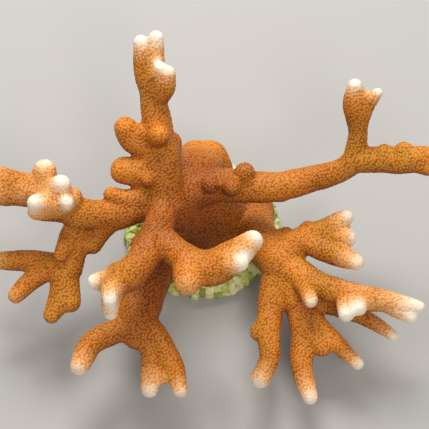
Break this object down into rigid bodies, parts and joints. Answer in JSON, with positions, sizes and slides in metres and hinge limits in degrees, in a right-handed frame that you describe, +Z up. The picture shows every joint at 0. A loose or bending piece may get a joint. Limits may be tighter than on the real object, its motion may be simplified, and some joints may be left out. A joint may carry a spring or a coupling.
{
  "type": "velvet finger coral",
  "caption": "Branching coral colony of blunt velvety fingers with pale tips, grown on a loose round gravel stone that rests on its flat underside.",
  "frame": {"origin": "centre of the stone's flat underside", "axes": "+Z up from the surface that the stone rests on, +X to the right along the widest spread of the fingers, -Y towards the front fingers"},
  "size_m": [0.1475, 0.1009, 0.0803],
  "materials": {
    "tissue": "velvety orange-brown skin of tiny round calices, smooth and near white at the tips",
    "stone": "rough cemented gravel with green algae and pale grains"
  },
  "bodies": {
    "root": {"base_stone": "stone", "trunk": "tissue", "back_lobe": "tissue", "back_limb": "tissue", "right_high_limb": "tissue", "right_high_finger_back": "tissue", "right_high_finger_side": "tissue", "left_limb": "tissue", "left_upper_finger": "tissue", "left_far_finger": "tissue", "left_low_limb": "tissue", "left_low_side_finger": "tissue", "left_low_front_finger": "tissue", "front_limb": "tissue", "front_left_limb": "tissue", "front_right_limb": "tissue", "front_low_limb": "tissue", "front_low_finger_left": "tissue", "front_low_finger_middle": "tissue", "front_low_finger_right": "tissue", "side_stem": "tissue", "side_high_finger": "tissue", "side_long_finger": "tissue", "side_low_limb": "tissue", "side_front_finger": "tissue", "side_fork_finger": "tissue", "side_under_finger": "tissue", "side_inner_finger": "tissue"}
  },
  "joints": []
}
